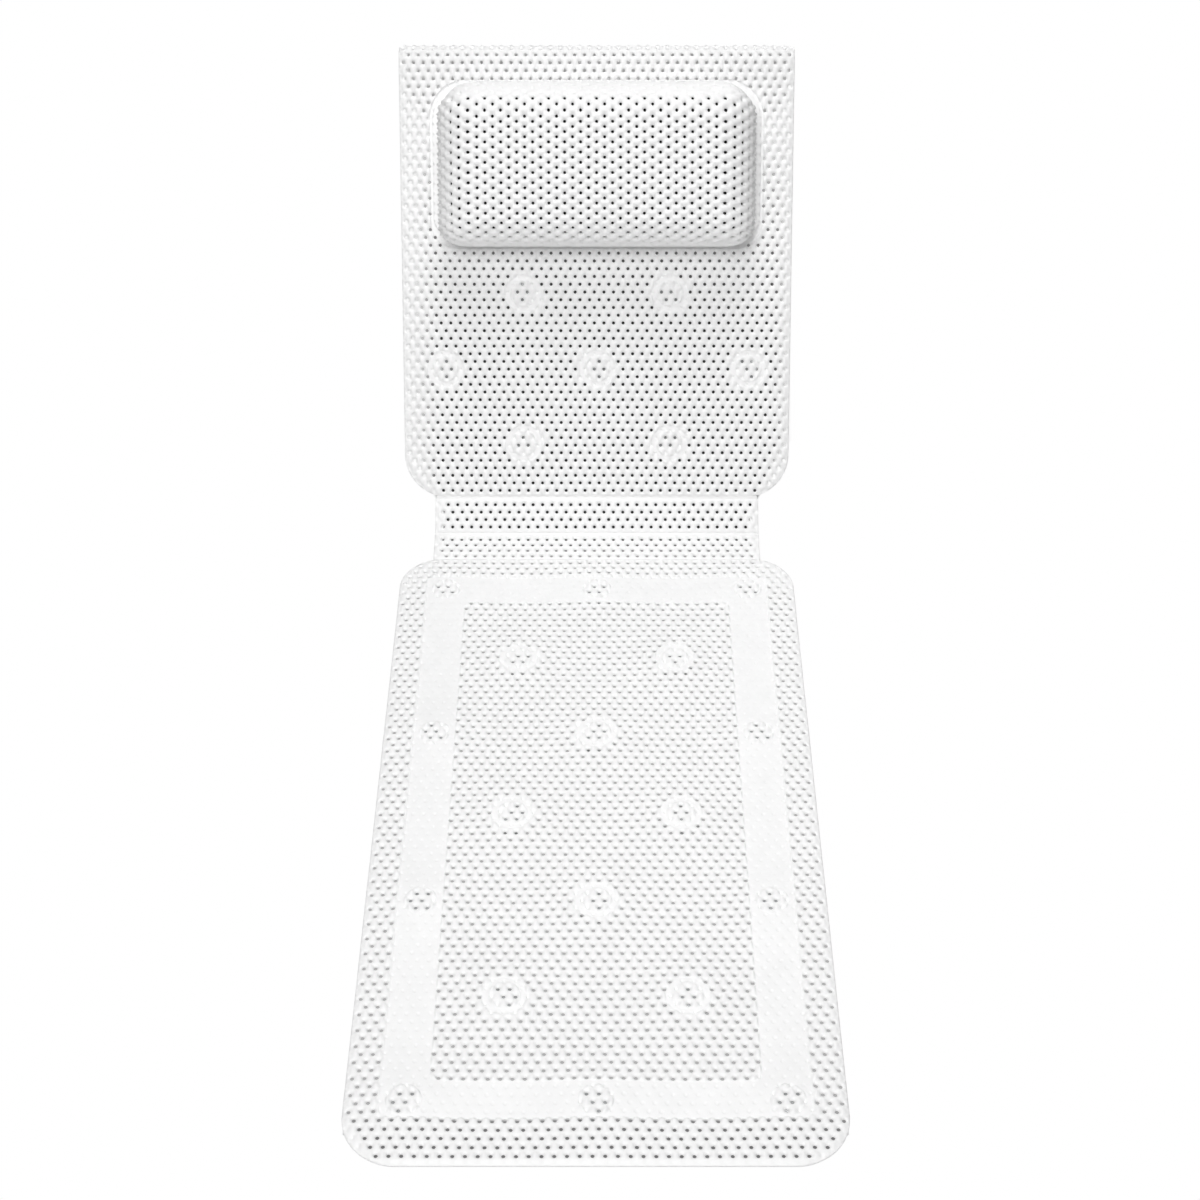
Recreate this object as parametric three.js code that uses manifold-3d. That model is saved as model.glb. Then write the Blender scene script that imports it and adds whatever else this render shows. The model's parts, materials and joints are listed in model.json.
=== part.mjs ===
// A full-body bath mat of white foamed mesh, set up as it lies in a bath: a seat sheet on suction cups,
// a connecting strip with a pressed crease, a back sheet that leans on the bath's end wall, a padded
// head pillow on the back sheet, and a flap that hooks over the rim. Millimetres, +Z up, +Y to the head.
import * as THREE from 'three';
import { mergeVertices } from 'three/addons/utils/BufferGeometryUtils.js';
import Module from 'manifold-3d';

// The foamed mesh sheet and its pressed edges
const WIDTH = 360;
const SHEET = 6;
const HEM = 5;
const HEM_EDGE = 0.8;
const CORNER = 40;
const CLEARANCE = 0.3;

// The fold lines, where two sheets meet edge to edge, and how far each one is bent as the mat lies
const FOLD_GAP = 0.8;
const SEAM_BEND = THREE.MathUtils.degToRad(6);
const CREASE_BEND = THREE.MathUtils.degToRad(34);
const BACK_BEND = THREE.MathUtils.degToRad(18);

// Seat sheet, with its free border hanging lower than the part that the cups hold up
const SEAT_LENGTH = 644;
const BORDER_DROP = 4;

// Connecting strip: two leaves, one on each side of the crease
const STRIP_WIDTH = 304;
const LOWER_LEAF = 33;
const UPPER_LEAF = 35;

// Back sheet, and the roll over the bath's rim that it shares with the flap
const BACK_LENGTH = 400;
const RIM_RADIUS = 12;
const RIM_TURN = THREE.MathUtils.degToRad(60);
const RIM_NOTCH = 2.2;
const FLAP_LENGTH = 113;

// Suction cups: a disc welded under the sheet, a short neck and a cup pressed flat against the bath
const CUP_DISC = 16;
const CUP_DISC_THICK = 0.8;
const CUP_NECK = 10;
const CUP_NECK_LENGTH = 0.5;
const CUP_LIP = 17;
const CUP_LIP_FLAT = 2;
const CUP_LIP_THICK = 0.4;
const CUP_HEIGHT = 3.2;
const CUP_HOLLOW = 1;
const CUP_SIDES = 16;

// Where the cups sit: insets from the sheet's edges, rows along the seat, and rows up the back
const CUP_SIDE_INSET = 43;
const CUP_REAR_INSET = 45.5;
const CUP_FRONT_INSET = 51.5;
const SEAT_CUP_ROWS = 7;
const BACK_CUP_OUTER_INSET = 39;
const BACK_CUP_INNER_INSET = 112;
const BACK_CUP_RISE = 52;
const BACK_CUP_PITCH = 69.5;
const BACK_CUP_ROWS = 3;

// The marks of the welding tools on the sheets: a flat pressed frame round the seat, rings over the cups
const FRAME_WIDTH = 36;
const FRAME_CORNER = 20;
const FRAME_INNER_CORNER = 6;
const FRAME_ISLAND = 15;
const RING_OUTER = 17;
const RING_INNER = 12;
const PRESSED_DEPTH = 1.2;

// Head pillow: a moulded mesh cover with a welded flange, over a block of soft foam
const PILLOW_WIDTH = 283;
const PILLOW_HEIGHT = 143;
const PILLOW_DEPTH = 56;
const PILLOW_TOP_GAP = 18;
const PILLOW_TOP_CORNER = 34;
const PILLOW_FOOT_CORNER = 18;
const PILLOW_LEAST_CORNER = 5;
const PILLOW_SHOULDER = 18;
const PILLOW_DRAWN_IN = 4;
const PILLOW_SAG = 4;
const PILLOW_ROUNDING = 30;
const PILLOW_CROWN = 5;
const COVER_WALL = 4;
const FLANGE_SIDE = 10;
const FLANGE_END = 4;
const FLANGE_THICK = 1.6;

// How finely the round shapes are cut
const CORNER_STEPS = 6;
const ROLL_STEPS = 5;
const RING_SIDES = 16;
const PILLOW_STEPS_BELOW = 3;
const PILLOW_STEPS_ABOVE = 7;
const PILLOW_STEPS_CROWN = 3;
const LEAST_STEP = 0.4;

// Sizes that follow from the ones above
const BORDER = Math.min(CUP_SIDE_INSET, CUP_REAR_INSET, CUP_FRONT_INSET) - CUP_LIP;
const SEAT_CUP_COLUMN = WIDTH / 2 - CUP_SIDE_INSET;
const ROLL_LENGTH = RIM_RADIUS * RIM_TURN;
const SEAT_HEIGHT = CUP_HEIGHT + CLEARANCE + SHEET / 2;
const SEAM_HEIGHT = SEAT_HEIGHT - BORDER_DROP;

const wasm = await Module();
wasm.setup();

// Joining and cutting: a geometry as a solid, and a solid as a geometry
function toSolid(geometry) {
  const bare = geometry.clone();
  bare.deleteAttribute('normal');
  bare.deleteAttribute('uv');
  const merged = mergeVertices(bare);
  const vertProperties = new Float32Array(merged.attributes.position.array);
  const triVerts = new Uint32Array(merged.index.array);
  return new wasm.Manifold(new wasm.Mesh({ numProp: 3, vertProperties, triVerts }));
}

function toGeometry(solid) {
  const mesh = solid.getMesh();
  const geometry = new THREE.BufferGeometry();
  geometry.setAttribute('position', new THREE.BufferAttribute(mesh.vertProperties, 3));
  geometry.setIndex(new THREE.BufferAttribute(mesh.triVerts, 1));
  return geometry;
}

// How far a point of a sheet is from each stretch of the sheet's outline, and how wide the hem is there
function edges(sheet, x, y) {
  const toSide = sheet.width / 2 - Math.abs(x);
  const found = [{ distance: toSide, hem: HEM }];
  for (const end of sheet.ends) {
    const toEnd = Math.abs(end.at - y);
    found.push({ distance: toEnd, hem: end.hem });
    if (toSide < end.corner && toEnd < end.corner) {
      const toArc = end.corner - Math.hypot(end.corner - toSide, end.corner - toEnd);
      found.push({ distance: toArc, hem: HEM });
    }
  }
  return found.map((edge) => ({ distance: Math.max(edge.distance, 0), hem: edge.hem }));
}

function halfWidth(sheet, y) {
  let half = sheet.width / 2;
  for (const end of sheet.ends) {
    const inCorner = end.corner - Math.abs(end.at - y);
    if (inCorner > 0) {
      half -= end.corner - Math.sqrt(end.corner ** 2 - inCorner ** 2);
    }
  }
  return half;
}

// The sheet is full in the middle and pressed thin along its hems, and its border may hang down
function thickness(sheet, x, y) {
  const full = Math.min(1, ...edges(sheet, x, y).map((edge) => edge.distance / edge.hem));
  return HEM_EDGE + (SHEET - HEM_EDGE) * full;
}

function drop(sheet, x, y) {
  const nearest = Math.min(...edges(sheet, x, y).map((edge) => edge.distance));
  return sheet.drop * (1 - Math.min(1, nearest / BORDER)) ** 2;
}

// Where the sheet needs points along its length: its ends, hems and corners, its border and its roll
function stations(sheet) {
  const found = [...sheet.rows];
  sheet.ends.forEach((end, side) => {
    const inward = side === 0 ? 1 : -1;
    const depths = [0, end.hem];
    for (let step = 1; step <= CORNER_STEPS && end.corner > 0; step += 1) {
      depths.push(end.corner * (1 - Math.cos((step / CORNER_STEPS) * (Math.PI / 2))));
    }
    if (sheet.drop > 0) {
      depths.push(BORDER);
    }
    found.push(...depths.map((depth) => end.at + inward * depth));
  });
  found.sort((a, b) => a - b);
  return found.filter((y, i) => i === 0 || y - found[i - 1] > LEAST_STEP);
}

function columns(sheet, y) {
  const half = halfWidth(sheet, y);
  const insets = sheet.drop > 0 ? [0, HEM, BORDER] : [0, HEM];
  return [...insets.map((inset) => inset - half), ...insets.reverse().map((inset) => half - inset)];
}

// A sheet as one closed body: a grid of points on its upper face, the same on its lower face, and its rim
function sheetGeometry(sheet) {
  const rows = stations(sheet);
  const across = columns(sheet, rows[0]).length;
  const points = [];
  for (const face of [1, -1]) {
    for (const y of rows) {
      for (const x of columns(sheet, y)) {
        const z = (face * thickness(sheet, x, y)) / 2 - drop(sheet, x, y);
        points.push(...sheet.place(x, y, z));
      }
    }
  }
  const lower = rows.length * across;
  const index = [];
  const quad = (a, b, c, d) => index.push(a, b, c, a, c, d);
  for (let i = 0; i + 1 < rows.length; i += 1) {
    const row = i * across;
    for (let j = 0; j + 1 < across; j += 1) {
      const at = row + j;
      quad(at, at + 1, at + across + 1, at + across);
      quad(lower + at, lower + at + across, lower + at + across + 1, lower + at + 1);
    }
    const right = row + across - 1;
    quad(row, row + across, lower + row + across, lower + row);
    quad(right, lower + right, lower + right + across, right + across);
  }
  const last = lower - across;
  for (let j = 0; j + 1 < across; j += 1) {
    quad(j, lower + j, lower + j + 1, j + 1);
    quad(last + j, last + j + 1, lower + last + j + 1, lower + last + j);
  }
  const geometry = new THREE.BufferGeometry();
  geometry.setAttribute('position', new THREE.Float32BufferAttribute(points, 3));
  geometry.setIndex(index);
  return geometry;
}

// A sheet lies flat, or rolls backwards about the rim from one place on and then runs on straight
const flat = (x, y, z) => [x, y, z];

function rolled(start) {
  return (x, y, z) => {
    const turn = THREE.MathUtils.clamp((y - start) / RIM_RADIUS, 0, RIM_TURN);
    const before = Math.min(y, start);
    const after = Math.max(y - start - ROLL_LENGTH, 0);
    const out = RIM_RADIUS + z;
    const along = before + out * Math.sin(turn) + after * Math.cos(turn);
    const up = out * Math.cos(turn) - RIM_RADIUS - after * Math.sin(turn);
    return [x, along, up];
  };
}

function rollRows(start) {
  const rows = [];
  for (let step = 0; step <= ROLL_STEPS; step += 1) {
    rows.push(start + (ROLL_LENGTH * step) / ROLL_STEPS);
  }
  return rows;
}

// Marks pressed into a face: flat-bottomed recesses of a given outline
function circlePoints(radius, x, y) {
  const points = [];
  for (let side = 0; side < RING_SIDES; side += 1) {
    const angle = (side / RING_SIDES) * 2 * Math.PI;
    points.push(new THREE.Vector2(x + radius * Math.cos(angle), y + radius * Math.sin(angle)));
  }
  return points;
}

function roundedPoints(left, right, front, rear, frontCorner, rearCorner) {
  const corners = [
    { x: right, y: rear, inX: -1, inY: -1, radius: rearCorner, from: 0 },
    { x: left, y: rear, inX: 1, inY: -1, radius: rearCorner, from: 1 },
    { x: left, y: front, inX: 1, inY: 1, radius: frontCorner, from: 2 },
    { x: right, y: front, inX: -1, inY: 1, radius: frontCorner, from: 3 },
  ];
  const points = [];
  for (const corner of corners) {
    const centre = new THREE.Vector2(corner.inX, corner.inY).multiplyScalar(corner.radius);
    centre.add(new THREE.Vector2(corner.x, corner.y));
    for (let step = 0; step <= CORNER_STEPS; step += 1) {
      const angle = (corner.from + step / CORNER_STEPS) * (Math.PI / 2);
      const arm = new THREE.Vector2(Math.cos(angle), Math.sin(angle)).multiplyScalar(corner.radius);
      points.push(arm.add(centre));
    }
  }
  return points;
}

function press(solid, outline, holes) {
  const shape = new THREE.Shape(outline);
  shape.holes = holes.map((points) => new THREE.Path(points));
  const stamp = new THREE.ExtrudeGeometry(shape, { depth: SHEET, bevelEnabled: false });
  stamp.translate(0, 0, SHEET / 2 - PRESSED_DEPTH);
  return solid.subtract(toSolid(stamp));
}

function pressRing(solid, spot) {
  return press(solid, circlePoints(RING_OUTER, spot.x, spot.y), [circlePoints(RING_INNER, spot.x, spot.y)]);
}

// Where the cups sit on each sheet: rows of three across and rows of two between them
const threeAcross = (y, outer) => [-outer, 0, outer].map((x) => ({ x, y }));
const twoAcross = (y, inner) => [-inner, inner].map((x) => ({ x, y }));

function seatCupSpots() {
  const first = -CUP_REAR_INSET;
  const pitch = (SEAT_LENGTH - CUP_REAR_INSET - CUP_FRONT_INSET) / (SEAT_CUP_ROWS - 1);
  const spots = [];
  for (let row = 0; row < SEAT_CUP_ROWS; row += 1) {
    const y = first - row * pitch;
    const places = row % 2 === 0 ? threeAcross(y, SEAT_CUP_COLUMN) : twoAcross(y, SEAT_CUP_COLUMN / 2);
    const endRow = row === 0 || row === SEAT_CUP_ROWS - 1;
    spots.push(...places.map(({ x }) => ({ x, y, inFrame: endRow || Math.abs(x) === SEAT_CUP_COLUMN })));
  }
  return spots;
}

function backCupSpots() {
  const outer = WIDTH / 2 - BACK_CUP_OUTER_INSET;
  const inner = WIDTH / 2 - BACK_CUP_INNER_INSET;
  const spots = [];
  for (let row = 0; row < BACK_CUP_ROWS; row += 1) {
    const y = BACK_CUP_RISE + row * BACK_CUP_PITCH;
    spots.push(...(row % 2 === 0 ? twoAcross(y, inner) : threeAcross(y, outer)));
  }
  return spots;
}

// The pieces, each in the frame of the sheet that carries it: X across, Y to the head, Z out of the top face
function seatMat() {
  const sheet = {
    width: WIDTH,
    drop: BORDER_DROP,
    ends: [
      { at: -SEAT_LENGTH, corner: CORNER, hem: HEM },
      { at: -FOLD_GAP / 2, corner: CORNER, hem: HEM },
    ],
    rows: [],
    place: flat,
  };
  const spots = seatCupSpots();
  const half = FRAME_WIDTH / 2;
  const front = -SEAT_LENGTH + CUP_FRONT_INSET;
  const rear = -CUP_REAR_INSET;
  const outer = SEAT_CUP_COLUMN + half;
  const inner = SEAT_CUP_COLUMN - half;
  const frame = roundedPoints(-outer, outer, front - half, rear + half, FRAME_CORNER, FRAME_CORNER);
  const corner = FRAME_INNER_CORNER;
  const field = roundedPoints(-inner, inner, front + half, rear - half, corner, corner);
  const inFrame = spots.filter((spot) => spot.inFrame);
  const islands = inFrame.map((spot) => circlePoints(FRAME_ISLAND, spot.x, spot.y));
  let solid = press(toSolid(sheetGeometry(sheet)), frame, [field, ...islands]);
  for (const spot of spots.filter((place) => !place.inFrame)) {
    solid = pressRing(solid, spot);
  }
  return toGeometry(solid);
}

function stripLeaf(length) {
  return sheetGeometry({
    width: STRIP_WIDTH,
    drop: 0,
    ends: [
      { at: FOLD_GAP / 2, corner: 0, hem: HEM },
      { at: length - FOLD_GAP / 2, corner: 0, hem: HEM },
    ],
    rows: [],
    place: flat,
  });
}

function backPanel() {
  const sheet = {
    width: WIDTH,
    drop: 0,
    ends: [
      { at: FOLD_GAP / 2, corner: CORNER, hem: HEM },
      { at: BACK_LENGTH + ROLL_LENGTH - FOLD_GAP / 2, corner: 0, hem: RIM_NOTCH },
    ],
    rows: rollRows(BACK_LENGTH).slice(0, -1),
    place: rolled(BACK_LENGTH),
  };
  let solid = toSolid(sheetGeometry(sheet));
  for (const spot of backCupSpots()) {
    solid = pressRing(solid, spot);
  }
  return toGeometry(solid);
}

function rimFlap() {
  return sheetGeometry({
    width: WIDTH,
    drop: 0,
    ends: [
      { at: FOLD_GAP / 2, corner: 0, hem: RIM_NOTCH },
      { at: ROLL_LENGTH + FLAP_LENGTH, corner: CORNER, hem: HEM },
    ],
    rows: rollRows(0).slice(1),
    place: rolled(0),
  });
}

// A cup is turned round its axis, from the middle of its welded disc to the middle of its hollow
function suctionCup() {
  const neckTop = -CUP_DISC_THICK;
  const neckFoot = neckTop - CUP_NECK_LENGTH;
  const profile = [
    [0, 0],
    [CUP_DISC, 0],
    [CUP_DISC, neckTop],
    [CUP_NECK, neckTop],
    [CUP_NECK, neckFoot],
    [CUP_LIP, CUP_LIP_THICK - CUP_HEIGHT],
    [CUP_LIP, -CUP_HEIGHT],
    [CUP_LIP - CUP_LIP_FLAT, -CUP_HEIGHT],
    [0, CUP_HOLLOW - CUP_HEIGHT],
  ];
  const points = profile.map(([radius, height]) => new THREE.Vector2(radius, height)).reverse();
  return new THREE.LatheGeometry(points, CUP_SIDES).rotateX(Math.PI / 2);
}

// The pillow's side from its foot over the shoulder to its crown: drawn in at the foot, sagging below it.
// A smaller one nests inside it, less by the same amount at the sides and on top.
function pillowSide(less) {
  const low = (PILLOW_DEPTH - less) / PILLOW_DEPTH;
  const rounded = PILLOW_DEPTH - PILLOW_CROWN;
  const levels = [];
  for (let step = 0; step < PILLOW_STEPS_BELOW; step += 1) {
    const share = (1 - step / PILLOW_STEPS_BELOW) ** 2;
    const height = PILLOW_SHOULDER * (step / PILLOW_STEPS_BELOW);
    levels.push({ inset: PILLOW_DRAWN_IN * share, height, sag: PILLOW_SAG * (1 - share) });
  }
  for (let step = 0; step <= PILLOW_STEPS_ABOVE; step += 1) {
    const angle = ((step / PILLOW_STEPS_ABOVE) * Math.PI) / 2;
    const inset = PILLOW_ROUNDING * (1 - Math.cos(angle));
    const height = PILLOW_SHOULDER + (rounded - PILLOW_SHOULDER) * Math.sin(angle);
    levels.push({ inset, height, sag: PILLOW_SAG });
  }
  for (let step = 1; step < PILLOW_STEPS_CROWN; step += 1) {
    const share = step / PILLOW_STEPS_CROWN;
    const inset = PILLOW_ROUNDING + (PILLOW_HEIGHT / 2 - PILLOW_ROUNDING - COVER_WALL) * share;
    levels.push({ inset, height: PILLOW_DEPTH - PILLOW_CROWN * (1 - share) ** 2, sag: PILLOW_SAG });
  }
  return levels.map(({ inset, height, sag }) => ({ inset: less + inset, height: low * height, sag }));
}

function pillowRing({ inset, height, sag, endInset = inset }) {
  const half = PILLOW_WIDTH / 2 - inset;
  const tall = PILLOW_HEIGHT / 2 - endInset;
  const foot = Math.max(PILLOW_FOOT_CORNER - inset, PILLOW_LEAST_CORNER);
  const top = Math.max(PILLOW_TOP_CORNER - inset, PILLOW_LEAST_CORNER);
  return roundedPoints(-half, half, -tall - sag, tall - sag, foot, top).map((p) => [p.x, p.y, height]);
}

// A body built up from rings of equal length, closed by a point at its first and its last ring
function ringBody(firstHeight, rings, lastHeight) {
  const size = rings[0].length;
  const points = [[0, -PILLOW_SAG, firstHeight], ...rings.flat(), [0, -PILLOW_SAG, lastHeight]];
  const lastPoint = points.length - 1;
  const lastRing = lastPoint - size;
  const index = [];
  for (let side = 0; side < size; side += 1) {
    const next = (side + 1) % size;
    index.push(0, 1 + next, 1 + side);
    index.push(lastPoint, lastRing + side, lastRing + next);
    for (let ring = 1; ring < lastRing; ring += size) {
      index.push(ring + side, ring + next, ring + size + next);
      index.push(ring + side, ring + size + next, ring + size + side);
    }
  }
  const geometry = new THREE.BufferGeometry();
  geometry.setAttribute('position', new THREE.Float32BufferAttribute(points.flat(), 3));
  geometry.setIndex(index);
  return geometry;
}

function pillowCover() {
  const inside = pillowSide(COVER_WALL).reverse();
  const flange = [0, FLANGE_THICK].map((height) => {
    return { inset: -FLANGE_SIDE, endInset: -FLANGE_END, height, sag: 0 };
  });
  const foot = { inset: PILLOW_DRAWN_IN, height: FLANGE_THICK, sag: 0 };
  const outside = [foot, ...pillowSide(0).slice(1)];
  const rings = [...inside, ...flange, ...outside].map(pillowRing);
  return ringBody(PILLOW_DEPTH - COVER_WALL, rings, PILLOW_DEPTH);
}

function pillowCore() {
  const less = COVER_WALL + CLEARANCE;
  return ringBody(0, pillowSide(less).map(pillowRing), PILLOW_DEPTH - less);
}

// Materials: white foamed PVC mesh, clear soft PVC cups, and the pillow's foam
const meshFoam = () => new THREE.MeshStandardMaterial({ color: '#f3f3f2', roughness: 0.75, metalness: 0 });
const clearVinyl = () => new THREE.MeshStandardMaterial({ color: '#e4e9ea', roughness: 0.25, metalness: 0 });
const softFoam = () => new THREE.MeshStandardMaterial({ color: '#efe9da', roughness: 0.9, metalness: 0 });

function piece(name, geometry, material) {
  const mesh = new THREE.Mesh(geometry, material);
  mesh.name = name;
  return mesh;
}

function addCups(group, name, spots) {
  spots.forEach((spot, i) => {
    const cup = piece(`${name}_${String(i + 1).padStart(2, '0')}`, suctionCup(), clearVinyl());
    cup.position.set(spot.x, spot.y, -SHEET / 2 - CLEARANCE);
    group.add(cup);
  });
}

// The sheets hang on each other at the fold lines: seat, lower leaf, upper leaf, back, flap
function foldedOnto(parent, y, z, bend) {
  const group = new THREE.Group();
  group.position.set(0, y, z);
  group.rotation.x = bend;
  parent.add(group);
  return group;
}

const mat = new THREE.Group();

const seat = foldedOnto(mat, 0, SEAT_HEIGHT, 0);
seat.add(piece('seat_mat', seatMat(), meshFoam()));
addCups(seat, 'seat_cup', seatCupSpots());

const lowerLeaf = foldedOnto(mat, 0, SEAM_HEIGHT, SEAM_BEND);
lowerLeaf.add(piece('strip_lower_leaf', stripLeaf(LOWER_LEAF), meshFoam()));

const upperLeaf = foldedOnto(lowerLeaf, LOWER_LEAF, 0, CREASE_BEND);
upperLeaf.add(piece('strip_upper_leaf', stripLeaf(UPPER_LEAF), meshFoam()));

const back = foldedOnto(upperLeaf, UPPER_LEAF, 0, BACK_BEND);
back.add(piece('back_panel', backPanel(), meshFoam()));
addCups(back, 'back_cup', backCupSpots());

const pillow = new THREE.Group();
pillow.position.y = BACK_LENGTH - PILLOW_TOP_GAP - FLANGE_END - PILLOW_HEIGHT / 2;
pillow.position.z = SHEET / 2 + CLEARANCE;
pillow.add(piece('pillow_cover', pillowCover(), meshFoam()));
pillow.add(piece('pillow_core', pillowCore(), softFoam()));
back.add(pillow);

const [, rollEnd, rollDrop] = rolled(BACK_LENGTH)(0, BACK_LENGTH + ROLL_LENGTH, 0);
const flap = foldedOnto(back, rollEnd, rollDrop, -RIM_TURN);
flap.add(piece('rim_flap', rimFlap(), meshFoam()));

// The origin is on the bath's floor, under the middle of the whole mat
mat.updateMatrixWorld(true);
const bounds = new THREE.Box3().setFromObject(mat, true);
mat.position.y = -(bounds.min.y + bounds.max.y) / 2;
mat.position.z = -bounds.min.z;
mat.updateMatrixWorld(true);

export default mat;
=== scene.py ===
import json
import math

import bpy
import numpy as np
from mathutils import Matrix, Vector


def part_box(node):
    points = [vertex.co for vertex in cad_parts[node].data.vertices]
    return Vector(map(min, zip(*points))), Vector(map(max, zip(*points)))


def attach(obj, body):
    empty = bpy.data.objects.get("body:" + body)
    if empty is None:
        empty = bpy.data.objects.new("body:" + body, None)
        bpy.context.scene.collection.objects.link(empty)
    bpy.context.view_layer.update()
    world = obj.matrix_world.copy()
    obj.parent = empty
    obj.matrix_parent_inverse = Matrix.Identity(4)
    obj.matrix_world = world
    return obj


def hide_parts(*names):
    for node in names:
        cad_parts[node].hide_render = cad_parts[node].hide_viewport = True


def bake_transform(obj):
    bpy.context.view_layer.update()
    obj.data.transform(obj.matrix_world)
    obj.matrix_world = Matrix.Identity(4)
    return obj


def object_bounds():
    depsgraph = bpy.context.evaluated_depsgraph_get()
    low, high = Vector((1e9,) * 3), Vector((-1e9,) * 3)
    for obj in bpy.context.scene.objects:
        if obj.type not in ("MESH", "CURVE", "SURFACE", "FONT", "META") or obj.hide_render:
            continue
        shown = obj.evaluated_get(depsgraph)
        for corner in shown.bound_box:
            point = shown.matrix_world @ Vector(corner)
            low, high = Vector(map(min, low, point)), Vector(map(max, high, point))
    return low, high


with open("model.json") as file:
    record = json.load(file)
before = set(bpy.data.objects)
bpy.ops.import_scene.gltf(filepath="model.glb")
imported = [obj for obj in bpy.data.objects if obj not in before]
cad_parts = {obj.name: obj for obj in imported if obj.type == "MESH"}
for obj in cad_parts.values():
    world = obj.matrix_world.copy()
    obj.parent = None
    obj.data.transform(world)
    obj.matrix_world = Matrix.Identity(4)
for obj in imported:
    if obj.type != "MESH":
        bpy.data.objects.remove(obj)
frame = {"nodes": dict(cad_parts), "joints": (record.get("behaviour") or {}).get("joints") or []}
cad_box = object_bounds()

# The camera: a short telephoto lens in front of the mat's foot end and above it, looking down along the
# middle line, so that the back sheet is seen almost square on and the seat runs away from the eye.
LENS = 61.1
SENSOR = 36.0
CAMERA_PLACE = (0.003, -1.2829, 1.242)
CAMERA_PITCH = math.radians(42.0)
bpy.ops.object.select_all(action="DESELECT")
bpy.ops.object.camera_add(location=CAMERA_PLACE, rotation=(math.pi / 2 - CAMERA_PITCH, 0, 0))
camera = bpy.context.object
camera.data.lens = LENS
camera.data.sensor_width = SENSOR
bpy.context.scene.camera = camera
bpy.context.scene.view_settings.view_transform = "Standard"


# The floor: a smooth painted sheet that shows as bare white, with a painted shadow on it. The white that it
# shows is darkened where the mat hides the room from it, within a soft outline close under the seat and wider
# behind the back, so that the holes are dark and the floor beside the mat stays white. No lamp casts it.
def linear(colour):
    """An sRGB hex colour as linear red, green, blue and alpha."""
    parts = [int(colour[i:i + 2], 16) / 255 for i in (1, 3, 5)]
    return [p / 12.92 if p <= 0.04045 else ((p + 0.055) / 1.055) ** 2.4 for p in parts] + [1.0]


def add_node(tree, kind, settings, links):
    """One node with its settings, its input values and the sockets that feed it."""
    made = tree.nodes.new(kind)
    for name, value in settings.items():
        setattr(made, name, value)
    for name, value in links.items():
        if isinstance(value, bpy.types.NodeSocket):
            tree.links.new(value, made.inputs[name])
        else:
            made.inputs[name].default_value = value
    return made


FLOOR_SIZE = 12.0
FLOOR_DROP = 0.0003
SHADE_FRONT = -0.488
SHADE_REAR = 1.08
SHADE_PALES = 0.74
SHADE_SOFT = (0.045, 0.022)
SHADE_HALF = 0.147
SEAT_EXTRA = 0.0325
SEAT_ENDS = 0.115
SEAT_BLEND = 0.02
SHADE_WIDENS = 0.22
SHADE_OPENS = 0.42
SHADE_BROADENS = (0.173, 0.067)
SHADE_FADE = 0.003
SHADE_SOFTENS = 0.15
SHADE_CORNER = 0.021
UNDER_SEAT_PAINTED_SHADE = 0.45
STRIP_BLEND = (0.07, 0.03)
FRONT_BLEND = (0.05, 0.02)
FRONT_DARKER = 0.4
SHADOW_REACH = 1.0
SHADOW_DEEP = 30.0
SHADOW_TINT = 0.04
SHADOW_SAMPLES = 24
bpy.ops.mesh.primitive_plane_add(size=FLOOR_SIZE, location=(0, 0, 0))
floor = bpy.context.object
floor.name = "studio_floor"
bpy.ops.object.mode_set(mode="EDIT")
bpy.ops.transform.translate(value=(0, 0, -FLOOR_DROP))
bpy.ops.object.mode_set(mode="OBJECT")
# Matt white floor paint: the lamps see a dull pale floor, the eye sees plain white with the painted shadow
floor_with_painted_shadow = bpy.data.materials.new("white_floor_with_painted_shadow")
floor_with_painted_shadow.use_nodes = True
tree = floor_with_painted_shadow.node_tree
tree.nodes.clear()
place = add_node(tree, "ShaderNodeTexCoord", {}, {})
parts = add_node(tree, "ShaderNodeSeparateXYZ", {}, {"Vector": place.outputs["Object"]})
side = add_node(tree, "ShaderNodeMath", {"operation": "ABSOLUTE"}, {0: parts.outputs["X"]})
past_fold = add_node(tree, "ShaderNodeMath", {"operation": "SUBTRACT", "use_clamp": True},
                     {0: parts.outputs["Y"], 1: SHADE_WIDENS})
near_half = add_node(tree, "ShaderNodeMath", {"operation": "MULTIPLY_ADD"},
                     {0: past_fold.outputs[0], 1: SHADE_OPENS, 2: SHADE_HALF})
far_half = add_node(tree, "ShaderNodeMath", {"operation": "MULTIPLY_ADD"},
                    {0: parts.outputs["Y"], 1: SHADE_BROADENS[1], 2: SHADE_BROADENS[0]})
far_half = add_node(tree, "ShaderNodeMath", {"operation": "MAXIMUM"},
                    {0: far_half.outputs[0], 1: SHADE_HALF})
half = add_node(tree, "ShaderNodeMath", {"operation": "MINIMUM"},
                {0: near_half.outputs[0], 1: far_half.outputs[0]})
on_seat = add_node(tree, "ShaderNodeMapRange", {"interpolation_type": "SMOOTHSTEP"},
                   {"Value": parts.outputs["Y"], "From Min": SEAT_ENDS - SEAT_BLEND,
                    "From Max": SEAT_ENDS + SEAT_BLEND, "To Min": SEAT_EXTRA, "To Max": 0.0})
half = add_node(tree, "ShaderNodeMath", {"operation": "ADD"}, {0: half.outputs[0], 1: on_seat.outputs[0]})
side = add_node(tree, "ShaderNodeMath", {"operation": "SUBTRACT"}, {0: side.outputs[0], 1: half.outputs[0]})
front = add_node(tree, "ShaderNodeMath", {"operation": "SUBTRACT"}, {0: SHADE_FRONT, 1: parts.outputs["Y"]})
past = add_node(tree, "ShaderNodeMath", {"operation": "MAXIMUM"}, {0: side.outputs[0], 1: front.outputs[0]})
corner = add_node(tree, "ShaderNodeMath", {"operation": "ADD"}, {0: side.outputs[0], 1: front.outputs[0]})
corner = add_node(tree, "ShaderNodeMath", {"operation": "ADD"}, {0: corner.outputs[0], 1: SHADE_CORNER})
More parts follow.
